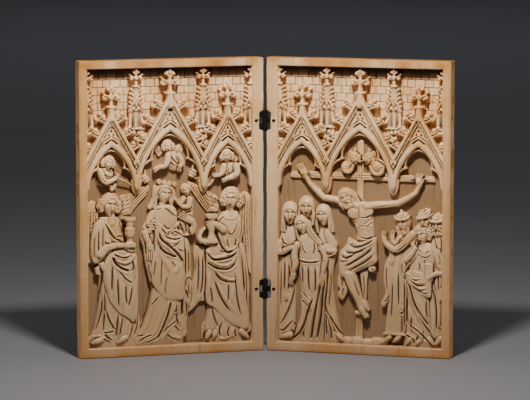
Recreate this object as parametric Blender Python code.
"""A carved ivory diptych: two relief leaves joined by two pinned metal hinges.

The leaves stand on their lower edges, opened like a book towards the viewer.
X runs to the right, Y away from the viewer and Z up, in metres. The origin is
on the floor, at the middle of the whole object's footprint.

Each leaf is one solid: a framed panel with an arcade of gables over a row of
figures, all carved down from the face of the frame. The carving is drawn in
millimetres on a leaf of the drawn size, and is fitted to the real opening.
"""

import math

import bmesh
import bpy
from mathutils import Matrix, Vector

MM = 0.001

# The leaf: its outside, its frame and the depth that the carver cut down.
LEAF_WIDTH = 121.0 * MM
LEAF_HEIGHT = 190.0 * MM
LEAF_THICKNESS = 11.0 * MM
OUTER_BORDER = 5.3 * MM
HINGE_BORDER = 7.2 * MM
TOP_BORDER = 5.2 * MM
FOOT_BORDER = 6.4 * MM
RECESS_DEPTH = 7.6 * MM
FRAME_EDGE_BEVEL = 0.5 * MM

# How the two leaves stand to each other.
LEAF_TURN = math.radians(16.0)
GAP_BETWEEN_LEAVES = 1.6 * MM
FOLD_CLEARANCE = 0.3 * MM

# The hinges, each in a notch cut into both leaves.
HINGE_HEIGHTS = (40.3 * MM, 149.4 * MM)
KNUCKLE_RADIUS = 1.9 * MM
KNUCKLE_HEIGHT = 3.7 * MM
KNUCKLE_GAP = 0.3 * MM
PIN_RADIUS = 0.8 * MM
PIN_HEAD_RADIUS = 1.3 * MM
PIN_HEAD_HEIGHT = 0.6 * MM
PIN_CLEARANCE = 0.3 * MM
STRAP_THICKNESS = 0.9 * MM
STRAP_DEPTH = 4.4 * MM
WEB_FRONT = 0.4 * MM
TONGUE_LENGTH = 5.6 * MM
TONGUE_HEIGHT = 8.0 * MM
FIT_GAP = 0.3 * MM
NOTCH_WIDTH = 2.7 * MM
NOTCH_TAPER = 1.3 * MM
RIVET_RADIUS = 0.6 * MM
RIVET_INSET = 4.9 * MM
ROUND_SIDES = 10
RIVET_SIDES = 8

# The leaf on which the carving's places are drawn, in millimetres.
DRAWN_OPENING_WIDTH = 108.5
DRAWN_LEFT = {"left": 5.3, "right": 7.2}
DRAWN_FOOT = 6.4
DRAWN_TOP = 184.8
DRAWN_DEPTH = 7.6
BURIED = -1.2
HIGHEST = 7.3

# The arcade, in drawn millimetres from the middle of the opening.
SIDE_BAY = 0.354 * DRAWN_OPENING_WIDTH
PENDANT = 0.205 * DRAWN_OPENING_WIDTH
PENDANT_HALF = 1.9
SPRING_HEIGHT = 106.5
MIDDLE_ARCH_TOP = 144.0
SIDE_ARCH_TOP = 135.0
MIDDLE_GABLE_TOP = 167.0
SIDE_GABLE_TOP = 158.0
GABLE_SLOPE = 1.78
ARCADE_FRONT = 6.2
ROLL_FRONT = 7.2
ROLL_WIDTH = 1.5
FOIL_FRONT = 4.6
ARCH_STEPS = 6
FOIL_STEPS = 9
CUSP_RISE = 0.5
CUSP_SHARE = 0.6
FOIL_SHARE = 0.94
FOIL_DROP = 2.2

# The carving's finish: the voxel that fuses the figures, and their facets.
CARVING_VOXEL = 0.5 * MM
CARVING_TRIANGLES = 2450
CARVING_SKIRT = 1.2 * MM
GROUND_SKIN = 0.1 * MM

IVORY = (0.66, 0.49, 0.31, 1.0)
DARK_METAL = (0.035, 0.03, 0.027, 1.0)


def clear_scene():
    """Removes what the file opened with."""
    for thing in list(bpy.data.objects):
        bpy.data.objects.remove(thing)


def make_material(name, colour, roughness, metallic):
    """A plain Principled material."""
    material = bpy.data.materials.new(name)
    material.use_nodes = True
    shader = material.node_tree.nodes["Principled BSDF"]
    shader.inputs["Base Color"].default_value = colour
    shader.inputs["Roughness"].default_value = roughness
    shader.inputs["Metallic"].default_value = metallic
    return material


def object_from(bm, name, material=None):
    """Links a new object that holds the bmesh, and frees the bmesh."""
    bmesh.ops.recalc_face_normals(bm, faces=bm.faces)
    mesh = bpy.data.meshes.new(name)
    bm.to_mesh(mesh)
    bm.free()
    thing = bpy.data.objects.new(name, mesh)
    bpy.context.scene.collection.objects.link(thing)
    if material:
        mesh.materials.append(material)
    return thing


def as_tool(thing):
    """Marks a cutter or a piece that a Boolean joins, which isn't a part itself."""
    thing.hide_render = True
    thing.display_type = "WIRE"
    return thing


def boolean(target, tool, operation, solver="EXACT"):
    """Cuts the target with the tool, or joins the tool to it."""
    modifier = target.modifiers.new(tool.name, "BOOLEAN")
    modifier.object = as_tool(tool)
    modifier.operation = operation
    modifier.solver = solver


def add_loft(bm, rings):
    """Adds a closed skin over equal rings of points, with a face at each end."""
    loops = [[bm.verts.new(point) for point in ring] for ring in rings]
    count = len(loops[0])
    for lower, upper in zip(loops, loops[1:]):
        for i in range(count):
            j = (i + 1) % count
            bm.faces.new((lower[i], lower[j], upper[j], upper[i]))
    bm.faces.new(list(reversed(loops[0])))
    bm.faces.new(loops[-1])


def add_box(bm, low, high):
    """Adds a box between two corners."""
    made = bmesh.ops.create_cube(bm, size=1.0)
    low, high = Vector(low), Vector(high)
    for vertex in made["verts"]:
        vertex.co = Vector(low[i] + (vertex.co[i] + 0.5) * (high[i] - low[i]) for i in range(3))


class Field:
    """The opening of one leaf, which turns drawn places into the leaf's own space.

    The leaf's own space has the hinge axis at x = 0 and y = 0. The right leaf
    runs to +x and the left one to -x, and the face of both looks along -y.
    """

    def __init__(self, side):
        self.side = side
        self.edge = GAP_BETWEEN_LEAVES / 2
        if side == "right":
            self.left = self.edge + HINGE_BORDER
            self.right = self.edge + LEAF_WIDTH - OUTER_BORDER
            self.outside = (self.edge, self.edge + LEAF_WIDTH)
        else:
            self.left = -self.edge - LEAF_WIDTH + OUTER_BORDER
            self.right = -self.edge - HINGE_BORDER
            self.outside = (-self.edge - LEAF_WIDTH, -self.edge)
        self.foot = FOOT_BORDER
        self.top = LEAF_HEIGHT - TOP_BORDER
        self.face = FOLD_CLEARANCE
        self.ground = self.face + RECESS_DEPTH
        self.back = self.face + LEAF_THICKNESS
        self.middle = DRAWN_LEFT[side] + DRAWN_OPENING_WIDTH / 2

    def across(self, u):
        """The leaf's x of a drawn distance from its left edge."""
        share = (u - DRAWN_LEFT[self.side]) / DRAWN_OPENING_WIDTH
        return self.left + share * (self.right - self.left)

    def up(self, v):
        """The leaf's z of a drawn height."""
        share = (v - DRAWN_FOOT) / (DRAWN_TOP - DRAWN_FOOT)
        return self.foot + share * (self.top - self.foot)

    def out(self, r):
        """The leaf's y of a drawn height above the ground, which the face caps."""
        r = min(r, HIGHEST)
        if r < 0:
            return self.ground - r / DRAWN_DEPTH * (self.back - self.ground)
        return self.ground - r / DRAWN_DEPTH * RECESS_DEPTH

    def point(self, u, v, r):
        """A drawn place in the leaf's own space."""
        return Vector((self.across(u), self.out(r), self.up(v)))


def add_prism(bm, field, outline, low, high):
    """Adds a flat plate with the given outline between two heights of relief."""
    add_loft(bm, [[field.point(u, v, r) for u, v in outline] for r in (low, high)])


def add_robe(bm, field, stations, lobes=5, folds=1.1):
    """Adds a draped body, half round in plan, whose pipe folds deepen downwards.

    A station is (height, middle, half width, relief), from the hem upwards.
    """
    points = 4 * lobes + 1
    low, high = stations[0][0], stations[-1][0]
    rings = []
    for v, middle, half, relief in stations:
        down = (high - v) / (high - low)
        ring = []
        for i in range(points):
            turn = math.pi * i / (points - 1)
            wave = folds * down * math.cos(2 * lobes * turn)
            rise = max(relief * math.sin(turn) ** 0.6 + wave * math.sin(turn), BURIED)
            ring.append(field.point(middle - half * math.cos(turn), v, rise))
        ring.append(field.point(middle + half, v, BURIED))
        ring.append(field.point(middle - half, v, BURIED))
        rings.append(ring)
    add_loft(bm, rings)


def add_limb(bm, field, places, sides=8):
    """Adds a round limb or fold along places of (across, up, relief, radius)."""
    centres = [Vector(place[:3]) for place in places]
    rings = []
    for i, (centre, place) in enumerate(zip(centres, places)):
        before = centres[max(i - 1, 0)]
        after = centres[min(i + 1, len(centres) - 1)]
        along = (after - before).normalized()
        side = along.cross(Vector((0.0, 0.0, 1.0)))
        if side.length < 0.01:
            side = Vector((1.0, 0.0, 0.0))
        side.normalize()
        rise = side.cross(along)
        ring = []
        for k in range(sides):
            turn = 2 * math.pi * k / sides
            spot = centre + place[3] * (math.cos(turn) * side + math.sin(turn) * rise)
            ring.append(field.point(*spot))
        rings.append(ring)
    add_loft(bm, rings)
    for place in (places[0], places[-1]):
        add_ball(bm, field, place[:3], (place[3],) * 3)


def add_ball(bm, field, centre, halves, tilt=0.0, segments=12, rows=8):
    """Adds an ellipsoid of half sizes (across, up, relief), tilted in the plane."""
    made = bmesh.ops.create_uvsphere(bm, u_segments=segments, v_segments=rows, radius=1.0)
    turn = math.radians(tilt)
    for vertex in made["verts"]:
        a, r, b = vertex.co.x * halves[0], vertex.co.y * halves[2], vertex.co.z * halves[1]
        u = centre[0] + a * math.cos(turn) - b * math.sin(turn)
        v = centre[1] + a * math.sin(turn) + b * math.cos(turn)
        vertex.co = field.point(u, v, centre[2] + r)


def add_head(bm, field, place, half, tilt=0.0, hair=1.15):
    """Adds a head with a plain nose and chin, inside hair or a veil."""
    u, v, r = place
    turn = math.radians(tilt)
    add_ball(bm, field, (u, v, r), (half * 0.78, half, half * 0.62), tilt)
    back = (u, v + 0.15 * half, r - 0.3 * half)
    add_ball(bm, field, back, (half * hair, half * hair, half * 0.55), tilt)
    nose = (u + 0.1 * half * math.sin(turn), v - 0.1 * half, r + 0.58 * half)
    add_ball(bm, field, nose, (half * 0.16, half * 0.3, half * 0.2), tilt, segments=6)


def add_wing(bm, field, root, tip, width, rise=2.6):
    """Adds a folded wing: a long flat leaf shape from its root to its tip."""
    start, end = Vector(root), Vector(tip)
    along = end - start
    side = Vector((-along.y, along.x)).normalized()
    rings = []
    for share, swell in ((0.0, 0.5), (0.25, 1.0), (0.6, 0.8), (0.85, 0.45), (1.0, 0.1)):
        middle = start + along * share
        near, far = middle - side * width * swell, middle + side * width * swell
        height = rise * (1.0 - 0.5 * share)
        rings.append([
            field.point(near.x, near.y, BURIED),
            field.point(near.x, near.y, height * 0.5),
            field.point(middle.x, middle.y, height),
            field.point(far.x, far.y, height * 0.5),
            field.point(far.x, far.y, BURIED),
        ])
    add_loft(bm, rings)


def add_turned(bm, field, middle, profile, relief, sides=10):
    """Adds a turned upright, such as a candlestick: profile is (height, radius)."""
    rings = []
    for v, radius in profile:
        ring = []
        for k in range(sides):
            turn = 2 * math.pi * k / sides
            ring.append(field.point(middle + radius * math.cos(turn), v, relief + radius * math.sin(turn)))
        rings.append(ring)
    add_loft(bm, rings)


CANDLESTICK = ((0.0, 4.6), (1.8, 4.4), (3.0, 1.8), (6.5, 1.5), (8.0, 3.0), (10.0, 3.0),
               (11.5, 1.9), (15.5, 1.9), (16.5, 4.0), (18.5, 3.9))


def candlestick_at(foot):
    """The candlestick's profile with its foot at a drawn height."""
    return [(foot + rise, radius) for rise, radius in CANDLESTICK]


def add_swag(bm, field, start, end, drop, relief, radius):
    """Adds a hanging drapery fold from start to end that sags by drop."""
    places = []
    for i in range(7):
        share = i / 6
        sag = drop * math.sin(math.pi * share)
        u = start[0] + (end[0] - start[0]) * share
        v = start[1] + (end[1] - start[1]) * share - sag
        places.append((u, v, relief, radius * (0.5 + 0.5 * math.sin(math.pi * share))))
    add_limb(bm, field, places, sides=6)


def add_left_figures(bm, field):
    """A crowned mother with her child, between two winged candle bearers."""
    add_robe(bm, field, [
        (8, 24, 18, 3.0), (15, 24.5, 16.5, 4.6), (28, 27, 13, 5.4), (40, 27.5, 12, 5.8),
        (52, 26, 11.5, 5.8), (64, 24, 12, 5.6), (76, 20, 10, 5.4), (86, 19.5, 8.5, 4.6),
        (90, 20, 4, 3.4)], lobes=6)
    add_head(bm, field, (21.5, 97.5, 2.6), 6.2, tilt=-12)
    add_limb(bm, field, [(12, 84, 4.2, 3.2), (12.5, 71, 5.0, 3.6), (21, 69.5, 6.0, 2.6), (30, 70, 6.2, 1.6)])
    add_limb(bm, field, [(26, 82, 4.4, 2.8), (31, 78, 5.2, 2.0), (35, 80, 6.0, 1.8)])
    add_limb(bm, field, [(10, 72, 4.0, 2.6), (12, 60, 3.4, 1.8), (14, 53, 2.8, 1.2)])
    add_turned(bm, field, 34.0, candlestick_at(70.5), 2.8)
    add_wing(bm, field, (29, 92), (46, 106), 6.5, rise=1.4)
    add_wing(bm, field, (11, 96), (8, 62), 3.2, rise=2.0)
    for drop, start, end in ((4, (21, 66), (37, 66)), (7, (22, 60), (37, 62)), (9, (24, 55), (37, 57))):
        add_swag(bm, field, start, end, drop, 5.6, 1.1)

    add_robe(bm, field, [
        (8, 51, 18, 3.0), (15, 53, 15.5, 4.8), (26, 55.5, 12.5, 5.6), (36, 57.5, 11.5, 6.0),
        (48, 58.5, 11, 6.2), (58, 58, 11, 6.2), (68, 58.5, 10, 6.0), (78, 57.5, 9, 5.6),
        (88, 56.5, 8, 5.0), (94, 56.5, 4, 3.8)], lobes=6)
    add_head(bm, field, (56.5, 102.0, 2.8), 6.0, tilt=6)
    add_turned(bm, field, 56.5, [(105.5, 4.4), (108.5, 4.9), (112.5, 5.4)], 3.4)
    add_limb(bm, field, [(49.5, 108, 2.6, 2.2), (49, 98, 2.4, 1.8), (50, 90, 2.6, 1.4)])
    add_limb(bm, field, [(50, 88, 4.4, 2.6), (44.5, 77, 4.6, 2.8), (46.5, 69, 5.4, 1.8), (47.5, 63, 5.2, 1.2)])
    add_limb(bm, field, [(48, 72, 5.4, 0.9), (50, 79, 5.2, 0.8), (48, 84.5, 4.6, 2.4)])
    add_swag(bm, field, (50, 79), (67, 70), 4, 6.0, 1.2)
    add_swag(bm, field, (49, 68), (68, 58), 6, 5.9, 1.3)
    add_swag(bm, field, (52, 54), (66, 50), 7, 6.0, 1.1)
    add_limb(bm, field, [(69.5, 70, 3.6, 2.0), (71, 48, 3.2, 2.0), (70.5, 26, 3.0, 1.8), (70, 12, 3.0, 1.6)])
    add_head(bm, field, (71.0, 105.5, 3.2), 4.0, tilt=18)
    add_limb(bm, field, [(71, 100, 2.6, 3.2), (70.5, 94, 3.2, 4.0), (69, 87, 4.2, 3.2), (71.5, 81, 4.6, 2.0)])
    add_limb(bm, field, [(75, 89, 4.2, 2.6), (72, 83, 4.8, 2.2), (67, 80, 5.2, 1.6)])

    add_robe(bm, field, [
        (8, 98, 15, 3.0), (15, 98.5, 14.5, 4.6), (28, 97, 13, 5.4), (40, 95.5, 11, 5.8),
        (52, 94.5, 10.5, 5.8), (64, 95, 10, 5.6), (76, 99, 9.5, 5.4), (86, 101, 8, 4.6),
        (90, 101, 4, 3.4)], lobes=6)
    add_head(bm, field, (100.5, 97.5, 2.6), 6.2, tilt=12)
    add_limb(bm, field, [(106, 84, 4.2, 3.2), (102, 73, 5.2, 3.6), (97, 77, 6.0, 2.6), (89, 82, 6.2, 1.6)])
    add_limb(bm, field, [(94, 80, 4.0, 2.4), (91, 73, 5.0, 2.2), (82, 72, 5.8, 1.8)])
    add_turned(bm, field, 87.5, candlestick_at(71.5), 2.8)
    add_limb(bm, field, [(80, 70, 4.0, 1.8), (80, 52, 3.8, 2.4), (79.5, 36, 3.4, 2.2), (82, 20, 3.2, 2.0)])
    add_wing(bm, field, (93, 91), (75, 108), 6.5, rise=1.4)
    add_wing(bm, field, (108, 96), (111, 56), 3.0, rise=2.0)
    for drop, start, end in ((4, (84, 66), (102, 66)), (8, (85, 62), (103, 59)), (11, (86, 57), (104, 52))):
        add_swag(bm, field, start, end, drop, 5.6, 1.1)

    add_ball(bm, field, (21, 116, 2.6), (6.0, 5.0, 2.6), tilt=20)
    add_head(bm, field, (21, 125, 3.4), 4.2, tilt=-10)
    add_limb(bm, field, [(15.5, 118, 3.2, 1.6), (20, 112, 4.4, 1.6), (27, 110.5, 4.6, 1.2), (35, 111, 4.0, 0.7)])
    add_ball(bm, field, (64.5, 126, 2.6), (4.6, 6.6, 2.6), tilt=-20)
    add_head(bm, field, (59.5, 132, 3.6), 3.6, tilt=25)
    add_limb(bm, field, [(62, 123, 3.4, 1.4), (57, 121.5, 4.2, 1.1), (51, 119, 4.2, 1.0)])
    add_limb(bm, field, [(67, 124, 3.2, 1.5), (66.5, 118.5, 4.0, 1.1)])
    for root, tip in (((60, 134), (52, 135)), ((63, 133), (65, 139))):
        add_wing(bm, field, root, tip, 2.2, rise=2.2)
    add_ball(bm, field, (100, 117.5, 2.6), (6.4, 4.6, 2.6), tilt=-15)
    add_head(bm, field, (98, 124, 3.4), 4.0, tilt=12)
    add_limb(bm, field, [(105, 115.5, 3.4, 1.5), (100, 112, 4.4, 1.5), (93, 114, 4.4, 1.2), (85, 109.5, 3.8, 0.7)])
    for tip in ((94, 131), (102.5, 132)):
        add_wing(bm, field, (98.5, 125), tip, 2.0, rise=2.2)
    for censer in ((44.5, 114, 1.9), (75.5, 115, 1.9)):
        add_ball(bm, field, censer, (2.5, 2.7, 2.4))
    for shoe in ((10, 11), (28, 11), (38.5, 11.5), (85, 11.5), (110, 12)):
        add_ball(bm, field, (*shoe, 3.2), (3.4, 2.2, 2.6))


def add_right_figures(bm, field):
    """A crucified figure between four mourning women and four onlooking men."""
    add_prism(bm, field, [(58.6, 8), (62.4, 8), (62.4, 142), (58.6, 142)], BURIED, 2.4)
    add_prism(bm, field, [(12.5, 112.5), (109.5, 112.5), (109.5, 116.6), (12.5, 116.6)], BURIED, 2.2)
    add_robe(bm, field, [
        (68, 62.5, 8.5, 5.8), (78, 63.5, 5.6, 5.6), (86, 62.8, 7.2, 6.2), (93, 61.5, 8.6, 6.2),
        (99, 60.5, 8.0, 4.4)], lobes=3, folds=0.0)
    add_head(bm, field, (50.2, 99.0, 3.2), 5.4, tilt=-35)
    add_limb(bm, field, [(56, 97.5, 4.4, 2.6), (44, 100.5, 4.2, 1.9), (36.5, 102.5, 4.2, 1.8),
                         (27, 110.5, 4.2, 1.4), (23.5, 116, 3.8, 1.9)])
    add_limb(bm, field, [(66, 97.5, 4.4, 2.4), (77, 99, 4.2, 1.9), (85, 99.5, 4.2, 1.9),
                         (97, 107.5, 4.2, 1.4), (99, 115.5, 3.8, 2.0)])
    add_limb(bm, field, [(64, 68, 1.0, 6.2), (59, 62, 1.2, 6.0), (53.5, 56, 2.0, 5.2)], sides=10)
    add_limb(bm, field, [(53, 53, 4.8, 3.4), (56.5, 43, 4.8, 2.7), (61, 33, 4.4, 2.0), (64.5, 25.5, 4.0, 1.5)])
    add_limb(bm, field, [(60, 54, 3.2, 3.0), (61.5, 44, 3.2, 2.4), (63.5, 35, 3.6, 1.8)])
    add_limb(bm, field, [(49.5, 48, 2.4, 2.2), (47.8, 42, 2.2, 1.8), (49.5, 35, 2.0, 1.2)])
    add_limb(bm, field, [(69, 62, 3.2, 2.6), (68.5, 53, 2.8, 2.2)])
    add_swag(bm, field, (49, 66), (71, 74), 1.5, 6.1, 1.3)
    add_swag(bm, field, (50, 60), (70, 62), 3, 6.3, 1.0)
    add_ball(bm, field, (62, 8.5, 1.6), (7.0, 3.0, 2.2))

    add_robe(bm, field, [(7, 12, 6, 2.8), (30, 12, 5.6, 3.6), (60, 13, 6.4, 4.0), (74, 13.5, 6.6, 3.8),
                         (80, 13.5, 3.6, 2.8)], lobes=3)
    add_head(bm, field, (13.5, 87.5, 3.0), 5.2)
    add_limb(bm, field, [(8.5, 72, 3.2, 2.0), (10, 66.5, 4.4, 1.8), (19, 68.5, 5.2, 1.5)])
    add_robe(bm, field, [(60, 25, 5, 2.6), (80, 25, 5, 2.6), (86, 25, 3.4, 2.2)], lobes=2)
    add_head(bm, field, (25, 91.5, 2.6), 5.0, tilt=-6)
    add_robe(bm, field, [(7, 41, 10, 2.8), (20, 41.5, 6.6, 4.2), (40, 39.5, 5.4, 4.6), (60, 39, 5.8, 4.8),
                         (72, 37.5, 7.4, 4.6), (80, 36, 4.0, 3.2)], lobes=4)
    add_head(bm, field, (35.7, 86.5, 3.4), 5.2, tilt=-6)
    add_limb(bm, field, [(43, 73, 4.2, 2.0), (43.5, 67.5, 5.2, 1.9), (36, 66, 6.2, 1.5)])
    add_robe(bm, field, [
        (7, 25, 19, 2.8), (16, 27, 13.5, 5.0), (28, 28, 10.5, 5.8), (42, 28.5, 9.4, 6.2),
        (54, 29, 9.0, 6.4), (61, 28, 8.0, 6.2), (70, 26.5, 8.2, 5.8), (76, 25.5, 4.0, 4.4)], lobes=6)
    add_head(bm, field, (22.2, 80.5, 3.3), 5.4, tilt=24)
    add_limb(bm, field, [(25, 84, 5.0, 2.4), (29, 76, 5.8, 2.0), (33, 70, 6.2, 1.4)])
    add_limb(bm, field, [(20, 68, 5.0, 2.4), (17.5, 59, 5.4, 1.8), (17, 52, 5.4, 1.4), (15, 46, 5.0, 1.2)])
    add_limb(bm, field, [(35, 66, 5.4, 2.2), (37.5, 57, 5.8, 1.8), (36.5, 49, 5.6, 1.4)])
    add_swag(bm, field, (22, 60), (36, 60), 2, 6.4, 1.0)
    for top, foot in (((24, 48), (10, 12)), ((28, 46), (19, 10)), ((33, 46), (28, 9)), ((36, 44), (33, 9))):
        add_limb(bm, field, [(*top, 5.4, 1.2), ((top[0] + foot[0]) / 2, (top[1] + foot[1]) / 2, 5.4, 1.3),
                             (*foot, 3.6, 1.5)], sides=6)

    add_robe(bm, field, [(13, 82.5, 7, 3.8), (30, 83.5, 6.4, 4.6), (50, 84.5, 6, 5.0), (62, 86, 6, 5.2),
                         (72, 88.5, 6.4, 5.0), (79, 89.5, 3.6, 3.8)], lobes=3)
    add_head(bm, field, (89.3, 86.0, 2.9), 5.2, tilt=8, hair=1.05)
    add_ball(bm, field, (89.8, 91.5, 3.4), (5.4, 2.4, 3.0), tilt=-12)
    add_limb(bm, field, [(92, 74, 4.8, 2.6), (84, 68.5, 5.8, 2.2), (79, 73, 5.6, 1.4), (76.5, 78, 5.0, 1.2)])
    add_limb(bm, field, [(85, 77, 4.2, 2.0), (80.5, 74, 4.6, 1.6)])
    add_limb(bm, field, [(80, 67, 4.6, 1.6), (81.5, 60, 4.8, 1.8), (78, 48, 4.0, 1.6), (77.5, 38, 3.2, 1.2)])
    add_limb(bm, field, [(80, 12, 2.8, 2.2), (73, 8.5, 3.0, 1.8)])
    add_robe(bm, field, [(62, 102.5, 5, 2.8), (78, 102.5, 4.8, 2.8), (84, 102.5, 3.4, 2.4)], lobes=2)
    add_head(bm, field, (102.3, 89.5, 2.8), 4.8, hair=1.1)
    add_ball(bm, field, (102.5, 94.2, 2.6), (4.6, 2.6, 2.8))
    add_robe(bm, field, [(18, 112.5, 3.2, 3.0), (40, 112.5, 3.6, 3.8), (60, 112, 4, 4.2), (74, 112, 3.8, 4.0),
                         (80, 112, 2.6, 3.0)], lobes=2)
    add_head(bm, field, (111.2, 88.0, 3.0), 4.8, hair=1.1)
    add_robe(bm, field, [
        (7, 101, 13, 2.8), (16, 101, 12, 4.8), (28, 100, 10.5, 5.8), (42, 99.5, 9.8, 6.2),
        (54, 100, 9.4, 6.4), (64, 101.5, 8.6, 6.0), (72, 102, 4.4, 4.6)], lobes=6)
    add_head(bm, field, (100.8, 80.0, 3.3), 5.3, tilt=14, hair=1.1)
    add_limb(bm, field, [(97, 68, 5.0, 2.6), (92, 60, 5.6, 2.4), (94, 67, 6.2, 1.8), (97, 73, 5.8, 1.4)])
    add_limb(bm, field, [(109, 66, 4.6, 2.6), (112, 57, 4.8, 2.4), (106, 52, 6.2, 1.4)])
    add_prism(bm, field, [(103.2, 51.5), (107.8, 51.5), (107.8, 60.5), (103.2, 60.5)], 4.0, 7.1)
    for drop, start, end in ((3, (91, 56), (106, 54)), (6, (92, 53), (106, 49)), (8, (94, 48), (106, 44))):
        add_swag(bm, field, start, end, drop, 6.2, 1.1)
    for shoe in ((10.5, 9.5), (46, 9), (95, 8.5), (112.5, 10)):
        add_ball(bm, field, (*shoe, 3.0), (3.2, 2.0, 2.6))

    for u, way in ((56.0, -1), (66.5, 1)):
        add_head(bm, field, (u, 126.0, 3.6), 3.2, tilt=12 * way)
        add_limb(bm, field, [(u, 122, 3.0, 2.4), (u + 3 * way, 118.5, 3.0, 2.6), (u + 8 * way, 121, 2.6, 1.8)])
        add_wing(bm, field, (u, 126), (u - 1 * way, 133), 2.0, rise=2.2)
        add_wing(bm, field, (u + way, 126), (u + 4 * way, 132), 2.0, rise=2.2)


def half_span(height, reach, apex):
    """How far a pointed arch's inner line stands from its middle at a height."""
    rise = apex - SPRING_HEIGHT
    radius = (reach * reach + rise * rise) / (2 * reach)
    return math.sqrt(max(radius * radius - (height - SPRING_HEIGHT) ** 2, 0.0)) - radius + reach


def arch_line(middle, reach, apex, steps):
    """A pointed arch from its left springing over the apex to its right one."""
    heights = [SPRING_HEIGHT + (apex - SPRING_HEIGHT) * math.sin(math.pi / 2 * i / steps)
               for i in range(steps + 1)]
    left = [(middle - half_span(v, reach, apex), v) for v in heights]
    right = [(2 * middle - u, v) for u, v in reversed(left[:-1])]
    return left + right


def bays(field):
    """The three bays: middle, half width of the arch, arch top and gable top."""
    side_reach = SIDE_BAY - PENDANT - PENDANT_HALF
    return [
        (field.middle - SIDE_BAY, side_reach, SIDE_ARCH_TOP, SIDE_GABLE_TOP),
        (field.middle, PENDANT - PENDANT_HALF, MIDDLE_ARCH_TOP, MIDDLE_GABLE_TOP),
        (field.middle + SIDE_BAY, side_reach, SIDE_ARCH_TOP, SIDE_GABLE_TOP),
    ]


def arcade_outline(field):
    """The outline of the gabled arcade, from the left wall round to the left wall."""
    reach = DRAWN_OPENING_WIDTH / 2 + 0.6
    left, right = field.middle - reach, field.middle + reach
    tops = []
    for middle, _, _, gable in bays(field):
        tops.append((middle, gable))
    side_foot = SIDE_GABLE_TOP - GABLE_SLOPE * (reach - SIDE_BAY)
    valley = (SIDE_GABLE_TOP + MIDDLE_GABLE_TOP - GABLE_SLOPE * SIDE_BAY) / 2
    offset = (MIDDLE_GABLE_TOP - valley) / GABLE_SLOPE
    outline = [(left, side_foot), tops[0], (field.middle - offset, valley), tops[1],
               (field.middle + offset, valley), tops[2], (right, side_foot),
               (right, SPRING_HEIGHT)]
    for middle, span, apex, _ in reversed(bays(field)):
        outline += list(reversed(arch_line(middle, span, apex, ARCH_STEPS)))
    outline.append((left, SPRING_HEIGHT))
    return outline


def foil_share(rise):
    """How far out a foil's edge stands, as a share of the arch's half span there."""
    if rise < CUSP_RISE:
        return FOIL_SHARE - (FOIL_SHARE - CUSP_SHARE) * (rise / CUSP_RISE) ** 4
    above = (rise - CUSP_RISE) / (1 - CUSP_RISE)
    return FOIL_SHARE - (FOIL_SHARE - CUSP_SHARE) * (1 - above) ** 3


def foil_outline(middle, reach, apex):
    """The plate between a pointed arch and its three foils, as one outline."""
    left = []
    for i in range(FOIL_STEPS + 1):
        rise = i / FOIL_STEPS
        height = SPRING_HEIGHT + (apex - SPRING_HEIGHT) * rise
        left.append((middle - half_span(height, reach, apex) * foil_share(rise), height))
    left[-1] = (middle, apex - FOIL_DROP)
    line = left + [(2 * middle - u, v) for u, v in reversed(left[:-1])]
    outer = arch_line(middle, reach + 0.5, apex + 0.6, ARCH_STEPS)
    return line + list(reversed(outer))


def add_roll(bm, field, line, width, low, high):
    """Adds a raised moulding of flattened section along a drawn line."""
    rings = []
    for i, (u, v) in enumerate(line):
        before = Vector(line[max(i - 1, 0)])
        after = Vector(line[min(i + 1, len(line) - 1)])
        along = (after - before).normalized()
        side = Vector((-along.y, along.x)) * width / 2
        rings.append([
            field.point(u - side.x, v - side.y, low),
            field.point(u - side.x * 0.5, v - side.y * 0.5, high),
            field.point(u + side.x * 0.5, v + side.y * 0.5, high),
            field.point(u + side.x, v + side.y, low),
        ])
    add_loft(bm, rings)


def add_knob(bm, field, place, halves, tilt=0.0):
    """Adds a leaf knob with few facets."""
    add_ball(bm, field, place, halves, tilt, segments=6, rows=4)


def add_finial(bm, field, u, foot, height, width):
    """Adds a stem with a collar, a four-leaved bulb and a bud."""
    stem = width * 0.14
    add_prism(bm, field, [(u - stem, foot - 3), (u + stem, foot - 3), (u + stem, foot + height * 0.8),
                          (u - stem, foot + height * 0.8)], BURIED, 5.2)
    collar = width * 0.3
    add_prism(bm, field, [(u - collar, foot), (u + collar, foot), (u + collar, foot + 1.1),
                          (u - collar, foot + 1.1)], BURIED, 5.7)
    add_knob(bm, field, (u, foot + height * 0.5, 4.2), (width * 0.5, height * 0.13, 2.3))
    add_knob(bm, field, (u, foot + height * 0.85, 4.2), (width * 0.24, height * 0.17, 1.9))


def add_pinnacle(bm, field, u, half):
    """Adds a small buttress with a gablet and a spire."""
    add_prism(bm, field, [(u - half, 138), (u + half, 138), (u + half, 157), (u + half * 0.45, 165),
                          (u + 0.9, 175), (u - 0.9, 175), (u - half * 0.45, 165), (u - half, 157)],
              BURIED, 4.4)
    add_prism(bm, field, [(u - half - 0.5, 145.5), (u + half + 0.5, 145.5), (u + half + 0.5, 146.7),
                          (u - half - 0.5, 146.7)], BURIED, 5.2)


def arcade_tools(field):
    """The arcade's crisp parts: the pierced plate, the foils behind it and its arch rolls."""
    plate = bmesh.new()
    add_prism(plate, field, arcade_outline(field), BURIED, ARCADE_FRONT)
    foils = bmesh.new()
    rolls = bmesh.new()
    for middle, reach, apex, _ in bays(field):
        add_prism(foils, field, foil_outline(middle, reach, apex), BURIED, FOIL_FRONT)
        arch = arch_line(middle, reach + ROLL_WIDTH * 0.6, apex + ROLL_WIDTH, ARCH_STEPS)
        add_roll(rolls, field, arch, ROLL_WIDTH, ARCADE_FRONT - 0.7, ROLL_FRONT)
    named = (("plate", plate), ("foils", foils), ("arch_rolls", rolls))
    return [object_from(bm, f"{field.side}_{name}") for name, bm in named]


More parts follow.
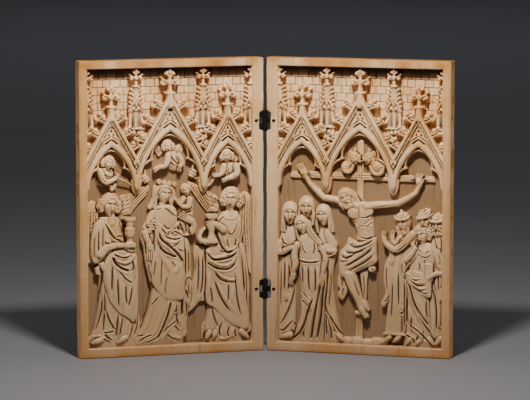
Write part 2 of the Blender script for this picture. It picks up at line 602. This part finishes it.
def add_arcade_ornaments(bm, field):
    """Adds the gables' slopes with their leaf knobs, the buttresses and the finials."""
    half = DRAWN_OPENING_WIDTH / 2
    for middle, reach, _, gable in bays(field):
        for way in (-1, 1):
            run = reach + 1.2
            foot = (middle + way * run, gable - 2.4 - GABLE_SLOPE * run)
            add_roll(bm, field, [(middle - way * 0.3, gable - 1.9), foot], ROLL_WIDTH,
                     BURIED, ROLL_FRONT - 0.15)
            knobs = 4 if middle == field.middle else 3
            for k in range(knobs):
                along = (k + 0.8) / (knobs + 0.15) * run
                place = (middle + way * (along + 1.4), gable - GABLE_SLOPE * along + 0.4, 4.4)
                if abs(place[0] - field.middle) < half - 0.5:
                    add_knob(bm, field, place, (2.6, 1.9, 2.3), tilt=-35 * way)
    for middle, _, _, gable in bays(field):
        wide = 12.0 if middle == field.middle else 9.5
        add_finial(bm, field, middle, gable + 2.0, 14.0, wide)
    for place in (-half, -PENDANT, PENDANT, half):
        add_pinnacle(bm, field, field.middle + place, 3.6)
        add_finial(bm, field, field.middle + place, 173.4, 10.5, 8.4)


def fused_carving(bm, field):
    """Fuses the overlapping carving with the ground it stands on, with few facets."""
    skirt = CARVING_SKIRT
    add_box(bm, (field.left - skirt, field.ground - GROUND_SKIN, field.foot - skirt),
            (field.right + skirt, field.ground + skirt, field.top + skirt))
    rough = object_from(bm, field.side + "_rough_carving")
    remesh = rough.modifiers.new("fuse", "REMESH")
    remesh.mode = "VOXEL"
    remesh.voxel_size = CARVING_VOXEL
    graph = bpy.context.evaluated_depsgraph_get()
    fine = bpy.data.meshes.new_from_object(rough.evaluated_get(graph))
    bpy.data.objects.remove(rough)
    carving = bpy.data.objects.new(field.side + "_carving", fine)
    bpy.context.scene.collection.objects.link(carving)
    reduce = carving.modifiers.new("facets", "DECIMATE")
    reduce.ratio = CARVING_TRIANGLES / (2 * len(fine.polygons))
    return carving


def make_block(field, material):
    """The framed panel: a slab with its face cut down inside the frame."""
    bm = bmesh.new()
    low, high = field.outside
    slab = [(low, 0.0), (high, 0.0), (high, LEAF_HEIGHT), (low, LEAF_HEIGHT)]
    add_loft(bm, [[Vector((x, y, z)) for x, z in slab] for y in (field.back, field.face)])
    block = object_from(bm, field.side + "_leaf", material)
    bevel = block.modifiers.new("worn_edges", "BEVEL")
    bevel.width = FRAME_EDGE_BEVEL
    bevel.segments = 1
    bm = bmesh.new()
    opening = [(field.left, field.foot), (field.right, field.foot), (field.right, field.top),
               (field.left, field.top)]
    proud = field.face - LEAF_THICKNESS
    add_loft(bm, [[Vector((x, y, z)) for x, z in opening] for y in (field.ground, proud)])
    boolean(block, object_from(bm, field.side + "_recess"), "DIFFERENCE")
    return block


def circle(radius, height, sides=ROUND_SIDES):
    """A level ring of points about the vertical axis."""
    turns = [2 * math.pi * k / sides for k in range(sides)]
    return [Vector((radius * math.cos(turn), radius * math.sin(turn), height)) for turn in turns]


def through_leaf(name, way, height, radius, near, far, material=None):
    """A rod square to the leaf at the rivet's place, between two depths."""
    bm = bmesh.new()
    add_loft(bm, [circle(radius, depth, RIVET_SIDES) for depth in (near, far)])
    rod = object_from(bm, name, material)
    rod.data.transform(Matrix.Rotation(-math.pi / 2, 4, "X"))
    x = way * (GAP_BETWEEN_LEAVES / 2 + RIVET_INSET)
    rod.data.transform(Matrix.Translation((x, 0.0, height)))
    return rod


def way_of(side):
    """+1 for the right leaf and -1 for the left one."""
    return 1 if side == "right" else -1


def barrel_height():
    """The height of the three knuckles with the gaps between them."""
    return 3 * KNUCKLE_HEIGHT + 2 * KNUCKLE_GAP


def cut_hinge_seats(block, side):
    """Cuts the tapered notch, the tongue's slot and the rivet's hole for each hinge."""
    way = way_of(side)
    for number, height in enumerate(HINGE_HEIGHTS):
        edge = GAP_BETWEEN_LEAVES / 2
        inner, outer = edge + NOTCH_WIDTH, -LEAF_THICKNESS
        tall = barrel_height() / 2 + PIN_HEAD_HEIGHT + 2 * FIT_GAP
        floor = STRAP_DEPTH + FIT_GAP
        bm = bmesh.new()
        profile = [(outer, tall + NOTCH_TAPER), (edge, tall + NOTCH_TAPER), (inner, tall),
                   (inner, -tall), (edge, -tall - NOTCH_TAPER), (outer, -tall - NOTCH_TAPER)]
        add_loft(bm, [[Vector((way * x, y, height + z)) for x, z in profile]
                      for y in (floor, -LEAF_THICKNESS)])
        boolean(block, object_from(bm, f"{side}_notch_{number}"), "DIFFERENCE")
        bm = bmesh.new()
        end = edge + TONGUE_LENGTH + FIT_GAP
        half = TONGUE_HEIGHT / 2 + FIT_GAP
        back, front = floor, STRAP_DEPTH - STRAP_THICKNESS - FIT_GAP
        first, last = sorted((way * (inner - FIT_GAP), way * end))
        add_box(bm, (first, front, height - half), (last, back, height + half))
        boolean(block, object_from(bm, f"{side}_slot_{number}"), "DIFFERENCE")
        hole = through_leaf(f"{side}_rivet_hole_{number}", way, height, RIVET_RADIUS + FIT_GAP,
                            -LEAF_THICKNESS, 2 * LEAF_THICKNESS)
        boolean(block, hole, "DIFFERENCE")


def make_strap(name, side, height, knuckles, material):
    """One half of a hinge: its knuckles, the webs behind them and the tongue."""
    way = way_of(side)
    edge = GAP_BETWEEN_LEAVES / 2
    low = height - barrel_height() / 2
    inner = edge + NOTCH_WIDTH - FIT_GAP
    bm = bmesh.new()
    first, last = sorted((way * (inner - STRAP_THICKNESS), way * (edge + TONGUE_LENGTH)))
    add_box(bm, (first, STRAP_DEPTH - STRAP_THICKNESS, height - TONGUE_HEIGHT / 2),
            (last, STRAP_DEPTH, height + TONGUE_HEIGHT / 2))
    strap = object_from(bm, name, material)
    for k in knuckles:
        foot = low + k * (KNUCKLE_HEIGHT + KNUCKLE_GAP)
        bm = bmesh.new()
        first, last = sorted((way * (PIN_RADIUS + PIN_CLEARANCE), way * inner))
        add_box(bm, (first, WEB_FRONT, foot), (last, STRAP_DEPTH - STRAP_THICKNESS / 2, foot + KNUCKLE_HEIGHT))
        boolean(strap, object_from(bm, f"{name}_web_{k}"), "UNION")
        bm = bmesh.new()
        add_loft(bm, [circle(KNUCKLE_RADIUS, z) for z in (foot, foot + KNUCKLE_HEIGHT)])
        boolean(strap, object_from(bm, f"{name}_knuckle_{k}"), "UNION")
    bm = bmesh.new()
    add_loft(bm, [circle(PIN_RADIUS + PIN_CLEARANCE, height + way * barrel_height()) for way in (-1, 1)])
    boolean(strap, object_from(bm, name + "_bore"), "DIFFERENCE")
    hole = through_leaf(name + "_rivet_hole", way, height, RIVET_RADIUS + FIT_GAP, 0.0, LEAF_THICKNESS)
    boolean(strap, hole, "DIFFERENCE")
    return strap


def make_pin(name, height, material):
    """The hinge pin, with a flat head above and below the knuckles."""
    reach = barrel_height() / 2 + FIT_GAP
    profile = [(-reach - PIN_HEAD_HEIGHT, PIN_HEAD_RADIUS), (-reach, PIN_HEAD_RADIUS), (-reach, PIN_RADIUS),
               (reach, PIN_RADIUS), (reach, PIN_HEAD_RADIUS), (reach + PIN_HEAD_HEIGHT, PIN_HEAD_RADIUS)]
    bm = bmesh.new()
    add_loft(bm, [circle(radius, height + z) for z, radius in profile])
    return object_from(bm, name, material)


def make_rivet(name, side, height, material):
    """A rivet through the frame and the tongue, just below the leaf's face."""
    near = FOLD_CLEARANCE + FIT_GAP
    far = FOLD_CLEARANCE + LEAF_THICKNESS - FIT_GAP
    return through_leaf(name, way_of(side), height, RIVET_RADIUS, near, far, material)


def footprint_middle():
    """The distance of the hinge axis behind the middle of the footprint."""
    reach = GAP_BETWEEN_LEAVES / 2 + LEAF_WIDTH
    near = reach * math.sin(LEAF_TURN) - FOLD_CLEARANCE * math.cos(LEAF_TURN)
    edge = GAP_BETWEEN_LEAVES / 2
    far = (FOLD_CLEARANCE + LEAF_THICKNESS) * math.cos(LEAF_TURN) - edge * math.sin(LEAF_TURN)
    return (near - far) / 2


def main():
    """Builds the leaves flat, then turns each about the hinge axis."""
    clear_scene()
    ivory = make_material("ivory", IVORY, 0.42, 0.0)
    metal = make_material("hinge_metal", DARK_METAL, 0.6, 0.8)
    axis = Vector((0.0, footprint_middle(), 0.0))
    turned = {}
    for side in ("left", "right"):
        stand = bpy.data.objects.new(side + "_stand", None)
        bpy.context.scene.collection.objects.link(stand)
        stand.location = axis
        stand.rotation_euler.z = -way_of(side) * LEAF_TURN
        turned[side] = stand

    for side, draw in (("left", add_left_figures), ("right", add_right_figures)):
        field = Field(side)
        block = make_block(field, ivory)
        carving = bmesh.new()
        draw(carving, field)
        add_arcade_ornaments(carving, field)
        for tool in arcade_tools(field):
            boolean(block, tool, "UNION")
        boolean(block, fused_carving(carving, field), "UNION", solver="MANIFOLD")
        cut_hinge_seats(block, side)
        for modifier in block.modifiers:
            if modifier.type == "BOOLEAN":
                modifier.object.parent = turned[side]
        block.parent = turned[side]

    for number, height in enumerate(HINGE_HEIGHTS):
        place = ("lower", "upper")[number]
        for side, knuckles in (("left", (0, 2)), ("right", (1,))):
            name = f"{place}_hinge_{side}_strap"
            strap = make_strap(name, side, height, knuckles, metal)
            strap.parent = turned[side]
            for modifier in strap.modifiers:
                modifier.object.parent = turned[side]
            make_rivet(f"{place}_hinge_{side}_rivet", side, height, metal).parent = turned[side]
        make_pin(f"{place}_hinge_pin", height, metal).parent = turned["left"]


main()
